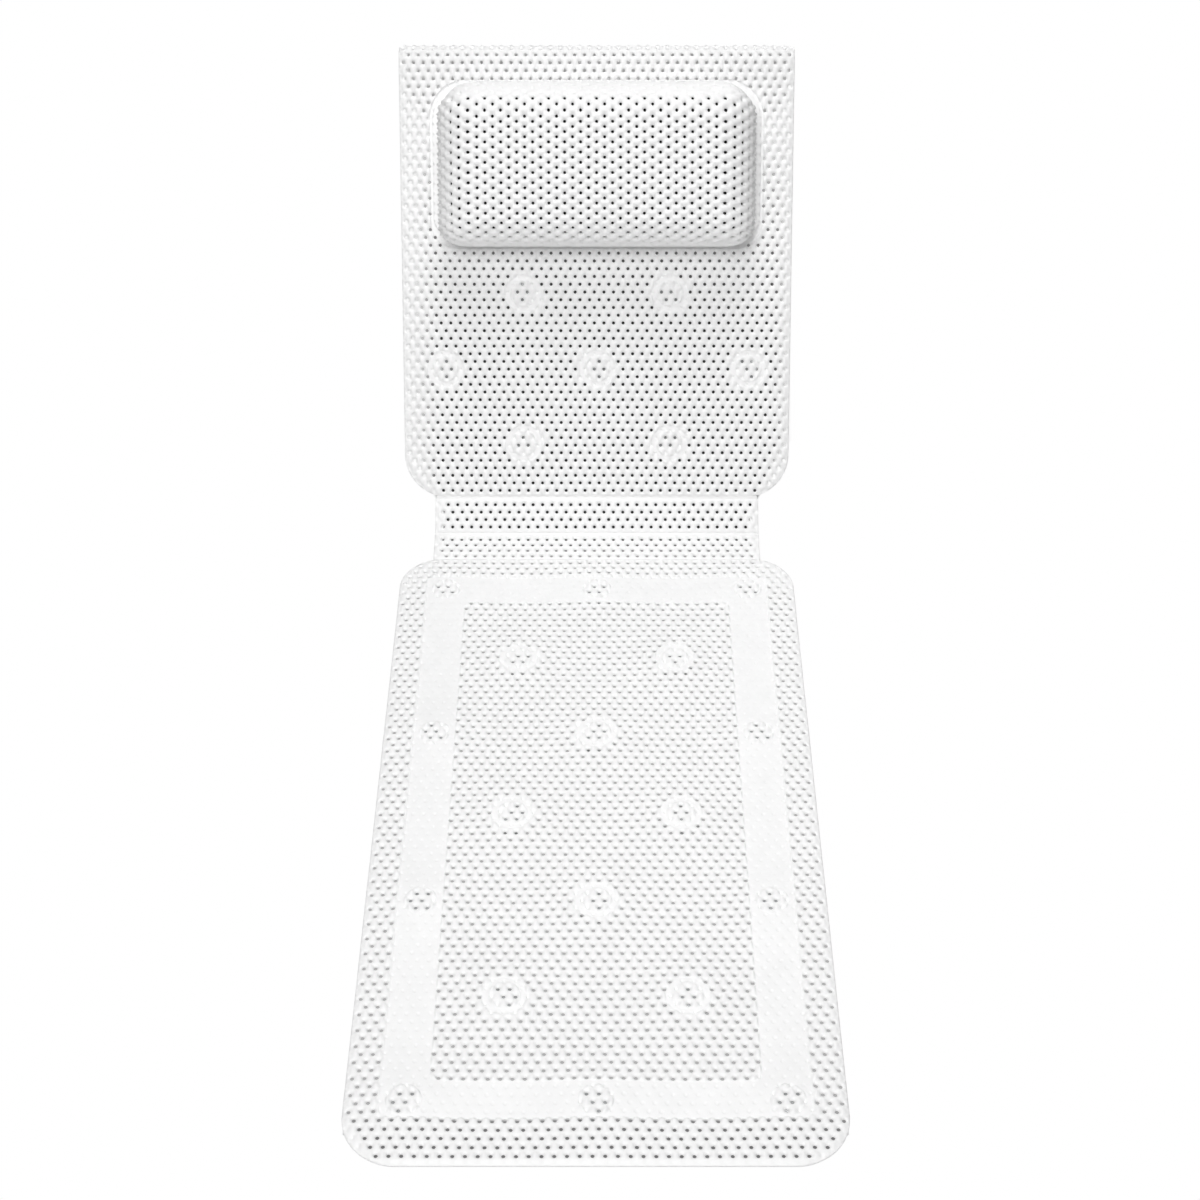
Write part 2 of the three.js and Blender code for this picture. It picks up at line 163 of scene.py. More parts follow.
past = add_node(tree, "ShaderNodeMath", {"operation": "MAXIMUM"},
                {0: past.outputs[0], 1: corner.outputs[0]})
soft = add_node(tree, "ShaderNodeMapRange", {"interpolation_type": "SMOOTHSTEP"},
                {"Value": parts.outputs["X"], "From Min": -SHADE_HALF, "From Max": SHADE_HALF,
                 "To Min": -SHADE_SOFT[0], "To Max": -SHADE_SOFT[1]})
soft = add_node(tree, "ShaderNodeMapRange", {"interpolation_type": "SMOOTHSTEP"},
                {"Value": parts.outputs["Y"], "From Min": SHADE_WIDENS,
                 "From Max": SHADE_WIDENS + SHADE_SOFTENS, "To Min": -SHADE_FADE, "To Max": soft.outputs[0]})
fade = add_node(tree, "ShaderNodeMapRange", {"interpolation_type": "SMOOTHSTEP"},
                {"Value": past.outputs[0], "From Min": soft.outputs[0], "From Max": 0.0})
rear = add_node(tree, "ShaderNodeMapRange", {"interpolation_type": "SMOOTHSTEP"},
                {"Value": parts.outputs["Y"], "From Min": SHADE_PALES, "From Max": SHADE_REAR})
fade = add_node(tree, "ShaderNodeMath", {"operation": "MAXIMUM"}, {0: fade.outputs[0], 1: rear.outputs[0]})
# Painted shade under the seat: the floor there shows at least a mid grey, less towards the seat's front edge
under = add_node(tree, "ShaderNodeMapRange", {"interpolation_type": "SMOOTHSTEP"},
                 {"Value": parts.outputs["Y"], "From Min": SHADE_WIDENS - STRIP_BLEND[0],
                  "From Max": SHADE_WIDENS - STRIP_BLEND[1], "To Min": UNDER_SEAT_PAINTED_SHADE, "To Max": 0.0})
inner = add_node(tree, "ShaderNodeMapRange", {"interpolation_type": "SMOOTHSTEP"},
                 {"Value": front.outputs[0], "From Min": -FRONT_BLEND[0], "From Max": -FRONT_BLEND[1],
                  "To Min": 1.0, "To Max": FRONT_DARKER})
under = add_node(tree, "ShaderNodeMath", {"operation": "MULTIPLY"},
                 {0: under.outputs[0], 1: inner.outputs[0]})
fade = add_node(tree, "ShaderNodeMath", {"operation": "MAXIMUM"}, {0: fade.outputs[0], 1: under.outputs[0]})
rays = add_node(tree, "ShaderNodeLightPath", {}, {})
seen = add_node(tree, "ShaderNodeMath", {"operation": "MAXIMUM"},
                {0: rays.outputs["Is Camera Ray"], 1: rays.outputs["Is Transmission Ray"]})
seen = add_node(tree, "ShaderNodeMath", {"operation": "MAXIMUM"},
                {0: seen.outputs[0], 1: rays.outputs["Is Glossy Ray"]})
# Painted shadow: ambient occlusion to a steep power darkens the white the floor shows, down to a dark tint
near = add_node(tree, "ShaderNodeAmbientOcclusion", {"samples": SHADOW_SAMPLES}, {"Distance": SHADOW_REACH})
depth = add_node(tree, "ShaderNodeMath", {"operation": "POWER"}, {0: near.outputs["AO"], 1: SHADOW_DEEP})
depth = add_node(tree, "ShaderNodeMapRange", {},
                 {"Value": depth.outputs[0], "To Min": SHADOW_TINT, "To Max": 1.0})
white_with_painted_shadow = add_node(tree, "ShaderNodeMath", {"operation": "MAXIMUM"}, {0: fade.outputs[0], 1: depth.outputs[0]})
paint = add_node(tree, "ShaderNodeBsdfDiffuse", {}, {"Color": linear("#f4f4f4")})
white = add_node(tree, "ShaderNodeEmission", {}, {"Color": linear("#ffffff"), "Strength": white_with_painted_shadow.outputs[0]})
mix = add_node(tree, "ShaderNodeMixShader", {},
               {0: seen.outputs[0], 1: paint.outputs[0], 2: white.outputs[0]})
add_node(tree, "ShaderNodeOutputMaterial", {}, {"Surface": mix.outputs[0]})
floor.data.materials.append(floor_with_painted_shadow)

# The light: a wide soft box in front and above gives most of it. Weak boxes over the head and foot ends even
# it out, one behind lights the rear side, and a weak even room fills in. Each box has its place, its aim, its
# size in metres, its spread in degrees and its power in watts.
AMBIENT = 0.12
lamps = [
    ("soft_box_over_head", (0.0, 0.40, 1.7), (0.0, 0.08, 0.05), 0.8, 70.0, 1.78),
    ("soft_box_over_foot", (0.0, -0.60, 1.6), (0.0, -0.42, 0.0), 0.8, 80.0, 0.85),
    ("soft_box_rear", (0.9, 2.4, 1.1), (0.0, 0.35, 0.2), 1.4, 180.0, 9.0),
    ("soft_box_front", (-0.45, -2.2, 3.0), (0.0, -0.05, 0.1), 1.6, 180.0, 75.5),
]
for name, at, aim, size, spread, power in lamps:
    bpy.ops.object.light_add(type="AREA", location=at)
    lamp = bpy.context.object
    lamp.name = name
    lamp.data.shape = "SQUARE"
    lamp.data.size = size
    lamp.data.energy = power
    lamp.data.spread = math.radians(spread)
    away = lamp.location.copy()
    away.x -= aim[0]
    away.y -= aim[1]
    away.z -= aim[2]
    lamp.rotation_euler = away.to_track_quat("Z", "Y").to_euler()
world = bpy.data.worlds.new("studio")
bpy.context.scene.world = world
world.use_nodes = True
tree = world.node_tree
tree.nodes.clear()
rays = add_node(tree, "ShaderNodeLightPath", {}, {})
room = add_node(tree, "ShaderNodeBackground", {}, {"Color": linear("#ffffff"), "Strength": AMBIENT})
white = add_node(tree, "ShaderNodeBackground", {}, {"Color": linear("#ffffff"), "Strength": 1.0})
seen = add_node(tree, "ShaderNodeMath", {"operation": "MAXIMUM"},
                {0: rays.outputs["Is Camera Ray"], 1: rays.outputs["Is Transmission Ray"]})
seen = add_node(tree, "ShaderNodeMath", {"operation": "MAXIMUM"},
                {0: seen.outputs[0], 1: rays.outputs["Is Glossy Ray"]})
mix = add_node(tree, "ShaderNodeMixShader", {},
               {0: seen.outputs[0], 1: room.outputs[0], 2: white.outputs[0]})
add_node(tree, "ShaderNodeOutputWorld", {}, {"Surface": mix.outputs[0]})

# Seat sheet: one run of foamed PVC mesh, a knitted net dipped and blown so that knobs stand between
# staggered round holes. A hot tool has pressed a smooth frame and smooth rings into it where the cups are
# welded on, and its edge is pressed to a thin hem. It lies on the cups and sags between them.
WIDTH = cad_box[1].x - cad_box[0].x
HOLE_PITCH = WIDTH / 40.5
ROW_PITCH = 0.8 * HOLE_PITCH
HOLE_RADIUS = 0.00145
LIP_RADIUS = 0.0027
HOLE_SIDES = 12
SHEET = 0.006
WAIST = 0.00035
SADDLE = 0.00205
KNOB = 0.00115
HEM_FLAT = 0.0015
HEM_WIDTH = 0.0036
HEM_HOLES = 0.0040
HEM_HALF = 0.0007
PRESSED_TOP = 0.0015
PRESSED_FOOT = 0.0022
PRESSED_TRACE = 0.10
DIMPLE = 0.0010
PRESSED_FLATTER = 0.3
PRESS_SLOPE = 0.0010
HALF_PRESSED = 0.5
FINE_CUTS = 2
ON_HOLE = 1.05
WELD = 0.00005
TINY = 1e-9
MILLI = 0.001


def fold_place(name):
    """Where a fold's axis runs: its y and z."""
    found = [joint for joint in frame["joints"] if joint["name"] == name]
    return np.array(found[0]["pos_m"][1:])


def points_of(piece):
    """The piece's points as an array."""
    flat = np.empty(len(piece.data.vertices) * 3, np.float32)
    piece.data.vertices.foreach_get("co", flat)
    return flat.reshape(-1, 3).astype(float)


def put_points(piece, points):
    """Moves the piece's points."""
    piece.data.vertices.foreach_set("co", points.astype(np.float32).ravel())
    piece.data.update()


def step(low, high, value):
    """A smooth step from 0 at low to 1 at high."""
    t = np.clip((value - low) / (high - low), 0, 1)
    return t * t * (3 - 2 * t)


class Outline:
    """A sheet's flat outline: a box with round corners, its own radius at the front and at the rear."""

    def __init__(self, half_width, front, rear, front_corner, rear_corner):
        self.half_width = half_width
        self.front = front
        self.rear = rear
        self.front_corner = front_corner
        self.rear_corner = rear_corner

    def reach(self, x, y):
        """The nearest point of the corner-free core, and the radius that the outline keeps round it."""
        middle = (self.front + self.rear) / 2
        radius = np.where(y < middle, self.front_corner, self.rear_corner)
        core_x = np.clip(x, radius - self.half_width, self.half_width - radius)
        core_y = np.clip(y, self.front + radius, self.rear - radius)
        return core_x, core_y, radius

    def inside(self, x, y):
        """How far a point is inside the outline: 0 on it, below 0 outside."""
        core_x, core_y, radius = self.reach(x, y)
        outside_core = np.hypot(x - core_x, y - core_y)
        in_core = np.minimum(self.half_width - np.abs(x), np.minimum(y - self.front, self.rear - y))
        return np.where(outside_core > 0, radius - outside_core, in_core)

    def drawn_in(self, x, y):
        """A point outside the outline is drawn in to the nearest place on it."""
        core_x, core_y, radius = self.reach(x, y)
        far = np.hypot(x - core_x, y - core_y)
        share = np.where(far > radius, radius / np.maximum(far, TINY), 1.0)
        return core_x + (x - core_x) * share, core_y + (y - core_y) * share


class Lattice:
    """The staggered rows of holes: the pitch in a row, the pitch of the rows and where one hole is."""

    def __init__(self, at_x, at_y, turned=False, rows=ROW_PITCH, hole=HOLE_RADIUS):
        self.at_x = at_x
        self.at_y = at_y
        self.turned = turned
        self.rows = rows
        self.hole = hole

    def along_rows(self, x, y):
        """A point as a distance along the rows and a distance across them, from the first hole."""
        return (y - self.at_y, x - self.at_x) if self.turned else (x - self.at_x, y - self.at_y)

    def swell(self, x, y):
        """From -1 on a knob to 1 in a hole."""
        u, v = self.along_rows(x, y)
        return np.cos(2 * math.pi * u / HOLE_PITCH) * np.cos(math.pi * v / self.rows)

    def nearest(self, x, y):
        """The distance to the nearest hole's middle, and that middle."""
        u, v = self.along_rows(x, y)
        best = np.full(x.shape, np.inf)
        at_u = np.zeros(x.shape)
        at_v = np.zeros(x.shape)
        low = np.floor(v / self.rows)
        for row in (low, low + 1):
            shift = 0.5 * np.mod(row, 2)
            hole_u = (np.round(u / HOLE_PITCH - shift) + shift) * HOLE_PITCH
            hole_v = row * self.rows
            far = np.hypot(u - hole_u, v - hole_v)
            nearer = far < best
            best = np.where(nearer, far, best)
            at_u = np.where(nearer, hole_u, at_u)
            at_v = np.where(nearer, hole_v, at_v)
        if self.turned:
            return best, at_v + self.at_x, at_u + self.at_y
        return best, at_u + self.at_x, at_v + self.at_y


def run_in_edit_mode(piece, mode, chosen, *steps):
    """Selects the chosen points, edges or faces of a piece and runs operators on them."""
    mesh = piece.data
    bpy.ops.object.select_all(action="DESELECT")
    piece.select_set(True)
    bpy.context.view_layer.objects.active = piece
    bpy.context.tool_settings.mesh_select_mode = [mode == kind for kind in ("VERT", "EDGE", "FACE")]
    for group in (mesh.vertices, mesh.edges, mesh.polygons):
        group.foreach_set("select", np.zeros(len(group), bool))
    if mode == "FACE":
        mesh.polygons.foreach_set("select", chosen)
    else:
        mesh.vertices.foreach_set("select", chosen)
        ends = np.empty(len(mesh.edges) * 2, np.int32)
        mesh.edges.foreach_get("vertices", ends)
        mesh.edges.foreach_set("select", chosen[ends].reshape(-1, 2).all(axis=1))
    bpy.ops.object.mode_set(mode="EDIT")
    for operator, options in steps:
        operator(**options)
    bpy.ops.object.mode_set(mode="OBJECT")


def everything(piece):
    """A choice of all the piece's points."""
    return np.ones(len(piece.data.vertices), bool)


def face_middles(piece):
    """The middles of the piece's faces."""
    flat = np.empty(len(piece.data.polygons) * 3, np.float32)
    piece.data.polygons.foreach_get("center", flat)
    return flat.reshape(-1, 3).astype(float)


def all_of_face(piece, flags):
    """For each face, whether all its points are flagged."""
    mesh = piece.data
    corners = np.empty(len(mesh.loops), np.int32)
    mesh.loops.foreach_get("vertex_index", corners)
    starts = np.empty(len(mesh.polygons), np.int32)
    mesh.polygons.foreach_get("loop_start", starts)
    return np.logical_and.reduceat(flags[corners], starts)


def perforated_sheet(name, outline, lattice, closed, press_edge):
    """A flat sheet of the mesh: one hole with the brick of foam round it, repeated in staggered rows, cut
    to the outline, with some holes closed, finer faces along pressed edges, and the sheet's thickness."""
    bpy.ops.object.select_all(action="DESELECT")
    bpy.ops.mesh.primitive_circle_add(vertices=HOLE_SIDES, radius=lattice.hole, fill_type="NOTHING")
    sheet = bpy.context.object
    sheet.name = name
    sheet.data.name = name
    half_u = HOLE_PITCH / 2
    half_v = lattice.rows / 2
    widen = LIP_RADIUS / lattice.hole
    run_in_edit_mode(
        sheet, "VERT", everything(sheet),
        (bpy.ops.mesh.extrude_region_move, {}),
        (bpy.ops.transform.resize, {"value": (widen, widen, 1), "center_override": (0, 0, 0)}),
        (bpy.ops.mesh.extrude_region_move, {}),
    )
    spots = points_of(sheet)
    outer = np.arange(len(spots)) >= 2 * HOLE_SIDES
    angle = np.arctan2(spots[:, 1], spots[:, 0])
    place = np.round(angle / (2 * math.pi / HOLE_SIDES)).astype(int) % HOLE_SIDES
    brick_x = np.array([2, 2, 1, 0, -1, -2, -2, -2, -1, 0, 1, 2]) * half_u / 2
    brick_y = np.array([0, 1, 1, 1, 1, 1, 0, -1, -1, -1, -1, -1]) * half_v
    spots[outer, 0] = brick_x[place[outer]]
    spots[outer, 1] = brick_y[place[outer]]
    put_points(sheet, spots)
    run_in_edit_mode(
        sheet, "VERT", everything(sheet),
        (bpy.ops.mesh.duplicate_move, {"TRANSFORM_OT_translate": {"value": (half_u, lattice.rows, 0)}}),
    )
    width = 2 * outline.half_width
    length = outline.rear - outline.front
    run, rise = (length, width) if lattice.turned else (width, length)
    start_u = math.floor((-run / 2) / HOLE_PITCH) - 2
    start_v = 2 * (math.floor((-rise / 2) / (2 * lattice.rows)) - 1)
    for count, offset in ((-2 * start_u + 1, (HOLE_PITCH, 0, 0)), (-start_v + 2, (0, 2 * lattice.rows, 0))):
        repeat = sheet.modifiers.new("repeat", "ARRAY")
        repeat.use_relative_offset = False
        repeat.use_constant_offset = True
        repeat.constant_offset_displace = offset
        repeat.count = count
        bpy.ops.object.modifier_apply(modifier=repeat.name)
    run_in_edit_mode(sheet, "VERT", everything(sheet), (bpy.ops.mesh.remove_doubles, {"threshold": WELD}))
    spots = points_of(sheet)
    middle = (outline.front + outline.rear) / 2
    if lattice.turned:
        near_u = round((middle - lattice.at_y) / HOLE_PITCH)
        near_v = 2 * round((0 - lattice.at_x) / (2 * lattice.rows))
        x = spots[:, 1] + (start_v + near_v) * lattice.rows + lattice.at_x
        y = spots[:, 0] + (start_u + near_u) * HOLE_PITCH + lattice.at_y
    else:
        near_u = round((0 - lattice.at_x) / HOLE_PITCH)
        near_v = 2 * round((middle - lattice.at_y) / (2 * lattice.rows))
        x = spots[:, 0] + (start_u + near_u) * HOLE_PITCH + lattice.at_x
        y = spots[:, 1] + (start_v + near_v) * lattice.rows + lattice.at_y
    put_points(sheet, np.stack([x, y, np.zeros(len(x))], axis=1))

    far, hole_x, hole_y = lattice.nearest(x, y)
    on_hole = (far < lattice.hole * ON_HOLE) & closed(hole_x, hole_y)
    run_in_edit_mode(
        sheet, "VERT", on_hole,
        (bpy.ops.mesh.fill_holes, {"sides": HOLE_SIDES}),
        (bpy.ops.mesh.poke, {}),
    )
    spots = points_of(sheet)
    past = outline.inside(spots[:, 0], spots[:, 1]) <= WELD
    run_in_edit_mode(sheet, "FACE", all_of_face(sheet, past), (bpy.ops.mesh.delete, {"type": "FACE"}))
    spots = points_of(sheet)
    spots[:, 0], spots[:, 1] = outline.drawn_in(spots[:, 0], spots[:, 1])
    put_points(sheet, spots)
    run_in_edit_mode(
        sheet, "VERT", everything(sheet),
        (bpy.ops.mesh.remove_doubles, {"threshold": WELD}),
        (bpy.ops.mesh.dissolve_degenerate, {"threshold": WELD}),
        (bpy.ops.mesh.normals_make_consistent, {"inside": False}),
    )
    middles = face_middles(sheet)
    cuts = press_edge(middles[:, 0], middles[:, 1])
    if cuts.any():
        run_in_edit_mode(sheet, "FACE", cuts, (bpy.ops.mesh.subdivide, {"number_cuts": FINE_CUTS}))
    wall = sheet.modifiers.new("thickness", "SOLIDIFY")
    wall.thickness = SHEET
    wall.offset = 0
    bpy.ops.object.modifier_apply(modifier=wall.name)
    run_in_edit_mode(
        sheet, "VERT", everything(sheet),
        (bpy.ops.mesh.delete_loose, {"use_faces": False}),
        (bpy.ops.mesh.select_all, {"action": "SELECT"}),
        (bpy.ops.mesh.normals_make_consistent, {"inside": False}),
    )
    return sheet


def shape_relief(sheet, lattice, closed, pressed, hem, deeper=None):
    """Gives the flat sheet its knobs and round-lipped holes, flat where it is pressed and thin in its hem,
    and stores how much each point is pressed. hem gives the distance to the edge."""
    spots = points_of(sheet)
    x = spots[:, 0]
    y = spots[:, 1]
    far, hole_x, hole_y = lattice.nearest(x, y)
    shut = closed(hole_x, hole_y)
    full = SADDLE - KNOB * lattice.swell(x, y)
    to_lip = np.clip((LIP_RADIUS - far) / (LIP_RADIUS - lattice.hole), 0, 1)
    lip = WAIST + (full - WAIST) * np.sqrt(1 - to_lip ** 2)
    half = np.where(shut, full, lip)
    flat = pressed(x, y)
    above = spots[:, 2] > 0
    trace = (full - SADDLE) * PRESSED_TRACE
    half = half + (np.where(above, PRESSED_TOP, PRESSED_FOOT) + trace - half) * flat
    dimple = DIMPLE * (1 - PRESSED_FLATTER * flat) * np.clip(1 - far / lattice.hole, 0, 1)
    if deeper is not None:
        dimple = dimple * deeper(hole_x, hole_y)
    half = half - np.where(shut, dimple, 0)
    thin = 1 - step(HEM_FLAT, HEM_WIDTH, hem(x, y))
    half = half + (HEM_HALF - half) * thin
    spots[:, 2] = np.where(above, half, -half)
    put_points(sheet, spots)
    smooth = sheet.data.attributes.new("pressed", "FLOAT", "POINT")
    smooth.data.foreach_set("value", np.maximum(flat, thin).astype(np.float32))


def finish_piece(piece, material):
    """Smooth shading and its material."""
    bpy.ops.object.select_all(action="DESELECT")
    piece.select_set(True)
    bpy.context.view_layer.objects.active = piece
    bpy.ops.object.shade_smooth()
    piece.data.materials.clear()
    piece.data.materials.append(material)


# Foamed PVC: blown soft vinyl with a closed skin. It is white, dull and slightly mottled, with fine pits of
# burst bubbles, and it is smoother and a little glossier where the hot tool has pressed it.
FOAM_MOTTLE = 0.012
FOAM_PIT = 0.0007
foam = bpy.data.materials.new("foamed_pvc_mesh")
foam.use_nodes = True
tree = foam.node_tree
tree.nodes.clear()
place = add_node(tree, "ShaderNodeTexCoord", {}, {})
mottle = add_node(tree, "ShaderNodeTexNoise", {},
                  {"Vector": place.outputs["Object"], "Scale": 1 / FOAM_MOTTLE, "Detail": 3.0})
tint = add_node(tree, "ShaderNodeMix", {"data_type": "RGBA"},
                {"Factor": mottle.outputs["Fac"], 6: linear("#f0f0f0"), 7: linear("#f9f9f9")})
pits = add_node(tree, "ShaderNodeTexNoise", {},
                {"Vector": place.outputs["Object"], "Scale": 1 / FOAM_PIT, "Detail": 2.0})
pressed_here = add_node(tree, "ShaderNodeAttribute", {"attribute_name": "pressed"}, {})
dull = add_node(tree, "ShaderNodeMapRange", {},
                {"Value": pressed_here.outputs["Fac"], "To Min": 0.52, "To Max": 0.42})
rise = add_node(tree, "ShaderNodeBump", {},
                {"Strength": 0.25, "Distance": 0.00012, "Height": pits.outputs["Fac"]})
skin = add_node(tree, "ShaderNodeBsdfPrincipled", {},
                {"Base Color": tint.outputs[2], "Roughness": dull.outputs[0], "Normal": rise.outputs[0],
                 "IOR": 1.5, "Specular IOR Level": 0.5})
add_node(tree, "ShaderNodeOutputMaterial", {}, {"Surface": skin.outputs[0]})

# The seat's own sizes: the pressed frame, the islands left proud in it, the rings and the hang of its edge
FRAME_HALF = 0.018
FRAME_FRONT = 0.015
FRAME_CORNER = 0.008
FIELD_CORNER = 0.006
ISLAND = 0.0122
ISLAND_HOLES = 0.0102
RING_HOLES = 0.0090
RING_OUTER = 0.017
RING_INNER = 0.012
RING_DEEPER = 1.4
SHEET_CORNER = 0.040
SEAT_SAG = 0.0028
SAG_REACH = 0.024
SIDE_DROP = (0.0016, 0.010, 2.0)
FRONT_DROP = (0.0032, 0.028, 1.5)
REAR_DROP = (0.0028, 0.008, 2.0)
SEAT_FIRST_ROW = 0.0069
SEAT_LAST_ROW = 0.0074
SEAT_ROW_STEPS = 89
seam = fold_place("seam_fold")
seat_low, seat_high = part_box("seat_mat")
seat_outline = Outline(seat_high.x, seat_low.y, seat_high.y, SHEET_CORNER, SHEET_CORNER)
seat_rows = (seam[0] - SEAT_FIRST_ROW - seat_low.y - SEAT_LAST_ROW) / SEAT_ROW_STEPS
seat_lattice = Lattice(HOLE_PITCH / 4, seam[0] - SEAT_FIRST_ROW, rows=seat_rows)
seat_cups = sorted(name for name in frame["nodes"] if name.startswith("seat_cup"))


def cup_middle(name):
    """The middle of a cup, across and along the floor."""
    low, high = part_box(name)
    return np.array([(low.x + high.x) / 2, (low.y + high.y) / 2])


cup_spots = np.array([cup_middle(name) for name in seat_cups])
column = cup_spots[:, 0].max()
first_cups = cup_spots[:, 1].min()
last_cups = cup_spots[:, 1].max()
frame_outline = Outline(column + FRAME_HALF, first_cups - FRAME_FRONT, last_cups + FRAME_HALF,
                        FRAME_CORNER, FRAME_CORNER)
field_outline = Outline(column - FRAME_HALF, first_cups + FRAME_HALF, last_cups - FRAME_HALF,
                        FIELD_CORNER, FIELD_CORNER)
in_frame = (cup_spots[:, 1] < first_cups + MILLI) | (cup_spots[:, 1] > last_cups - MILLI)
in_frame |= np.abs(cup_spots[:, 0]) > column - MILLI
island_spots = cup_spots[in_frame]
ring_spots = cup_spots[~in_frame]


def to_nearest(spots, x, y):
    """The distance to the nearest of some spots."""
    return np.min([np.hypot(x - spot[0], y - spot[1]) for spot in spots], axis=0)


def ring_pressed(spots, x, y):
    """1 in the pressed rings round the spots, 0 elsewhere, with a short slope at both edges."""
    far = to_nearest(spots, x, y)
    return step(RING_INNER - PRESS_SLOPE / 2, RING_INNER + PRESS_SLOPE / 2, far) * (
        1 - step(RING_OUTER - PRESS_SLOPE / 2, RING_OUTER + PRESS_SLOPE / 2, far))


def ring_edge(spots, x, y):
    """Whether a face lies along the edge of a ring."""
    far = to_nearest(spots, x, y)
    return (np.abs(far - RING_INNER) < 2 * PRESS_SLOPE) | (np.abs(far - RING_OUTER) < 2 * PRESS_SLOPE)


def ring_dimples(spots, x, y):
    """How much deeper the closed holes of a ring are than those of a frame."""
    return np.where(to_nearest(spots, x, y) < RING_OUTER + PRESS_SLOPE, RING_DEEPER, 1.0)


def seat_dimples(x, y):
    """How deep the seat's closed holes are."""
    return ring_dimples(ring_spots, x, y)


def ring_closed(spots, x, y):
    """Whether a hole is closed by a ring."""
    far = to_nearest(spots, x, y)
    return (far > RING_HOLES) & (far < RING_OUTER + PRESS_SLOPE)


def seat_pressed(x, y):
    """How much the seat is pressed: its frame without the islands, and its rings."""
    band = step(0, PRESS_SLOPE, frame_outline.inside(x, y))
    band = band * step(0, PRESS_SLOPE, -field_outline.inside(x, y))
    island = step(ISLAND, ISLAND + PRESS_SLOPE, to_nearest(island_spots, x, y))
    return np.maximum(band * island, ring_pressed(ring_spots, x, y))


def seat_press_edge(x, y):
    """Whether a face of the seat lies along a pressed edge."""
    near = np.abs(frame_outline.inside(x, y)) < 2 * PRESS_SLOPE
    near |= np.abs(field_outline.inside(x, y)) < 2 * PRESS_SLOPE
    near |= np.abs(to_nearest(island_spots, x, y) - ISLAND) < 2 * PRESS_SLOPE
    return near | ring_edge(ring_spots, x, y)


def seat_closed(x, y):
    """Whether a hole of the seat is closed: in the hem or where the tool pressed."""
    to_island = to_nearest(island_spots, x, y)
    shut = (seat_outline.inside(x, y) < HEM_HOLES) | (seat_pressed(x, y) > HALF_PRESSED)
    shut = shut | ring_closed(ring_spots, x, y)
    return shut | ((to_island > ISLAND_HOLES) & (to_island < ISLAND + PRESS_SLOPE))


seat_sheet = perforated_sheet("seat_sheet", seat_outline, seat_lattice, seat_closed, seat_press_edge)
shape_relief(seat_sheet, seat_lattice, seat_closed, seat_pressed, seat_outline.inside, seat_dimples)
spots = points_of(seat_sheet)
x = spots[:, 0]
y = spots[:, 1]
hill = sum(np.exp(-((x - cx) ** 2 + (y - cy) ** 2) / (2 * SAG_REACH ** 2)) for cx, cy in cup_spots)
seat_middle = (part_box("seat_cup_01")[1].z + seat_high.z) / 2
drop = np.zeros(len(x))
for to_edge, (depth, reach, power) in (
        (seat_outline.inside(x, y), SIDE_DROP), (y - seat_low.y, FRONT_DROP), (seat_high.y - y, REAR_DROP)):
    drop = np.maximum(drop, depth * (1 - np.clip(to_edge / reach, 0, 1)) ** power)
sag = SEAT_SAG * (1 - np.clip(hill, 0, 1))
spots[:, 2] += seat_middle - np.maximum(sag, drop)
put_points(seat_sheet, spots)
finish_piece(seat_sheet, foam)
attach(seat_sheet, "seat")
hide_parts("seat_mat")

# Strip: the narrow run of the same mesh between seat and back, in two leaves with a pressed crease between
# them. Both leaves carry on one pattern of holes, and the row on the crease is pressed shut.
LEAF_GAP = 0.0009
FOLD_FLAT = 0.0010
FOLD_SLOPE = 0.0017
crease = fold_place("crease_fold")
weld_line = fold_place("back_fold")
strip_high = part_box("strip_lower_leaf")[1]


def lay_on_slope(sheet, start, end):
    """Moves a sheet from its flat place, measured from its lower fold, to its slope between two folds."""
    along = (end - start) / np.linalg.norm(end - start)
    spots = points_of(sheet)
    flat_y = spots[:, 1].copy()
    flat_z = spots[:, 2].copy()
    spots[:, 1] = start[0] + along[0] * flat_y - along[1] * flat_z
    spots[:, 2] = start[1] + along[1] * flat_y + along[0] * flat_z
    put_points(sheet, spots)


def no_press(x, y):
    """A sheet with nothing pressed into it."""
    return np.zeros(x.shape)


def no_fine_faces(x, y):
    """A sheet with no pressed edges that need finer faces."""
    return np.zeros(x.shape, bool)


def strip_leaf(name, node, body, start, end, crease_at_end):
    """One leaf of the strip, between two folds."""
    length = np.linalg.norm(end - start)
    outline = Outline(strip_high.x, LEAF_GAP, length - LEAF_GAP, WELD, WELD)
    lattice = Lattice(HOLE_PITCH / 4, length if crease_at_end else 0.0)

    def hem(x, y):
        """The distance to the edge, where a fold counts as a narrower edge than a side."""
        to_fold = np.minimum(y, length - y) - FOLD_FLAT
        to_fold = HEM_FLAT + to_fold * (HEM_HOLES - HEM_FLAT) / FOLD_SLOPE
        return np.minimum(strip_high.x - np.abs(x), to_fold)

    def closed(x, y):
        """Whether a hole is closed: in the side hems or at a fold."""
        return hem(x, y) < HEM_HOLES

    leaf = perforated_sheet(name, outline, lattice, closed, no_fine_faces)
    shape_relief(leaf, lattice, closed, no_press, hem)
    lay_on_slope(leaf, start, end)
    finish_piece(leaf, foam)
    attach(leaf, body)
    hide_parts(node)


strip_leaf("strip_sheet_lower", "strip_lower_leaf", "lower_leaf", seam, crease, True)
strip_leaf("strip_sheet_upper", "strip_upper_leaf", "upper_leaf", crease, weld_line, False)

# Fold webs: at the seam, the crease and the weld line the mesh is pressed and welded to a thin smooth line
# of solid vinyl, along which the mat folds. Each is a flat ribbon that takes in the sheets' thin ends.
WEB_REACH = 0.0019
WEB_HALF = 0.00085
WEB_SEGMENTS = 8
WEB_BEVEL = 0.0004
WEB_EDGE = math.radians(60)
WEB_INSET = 0.001


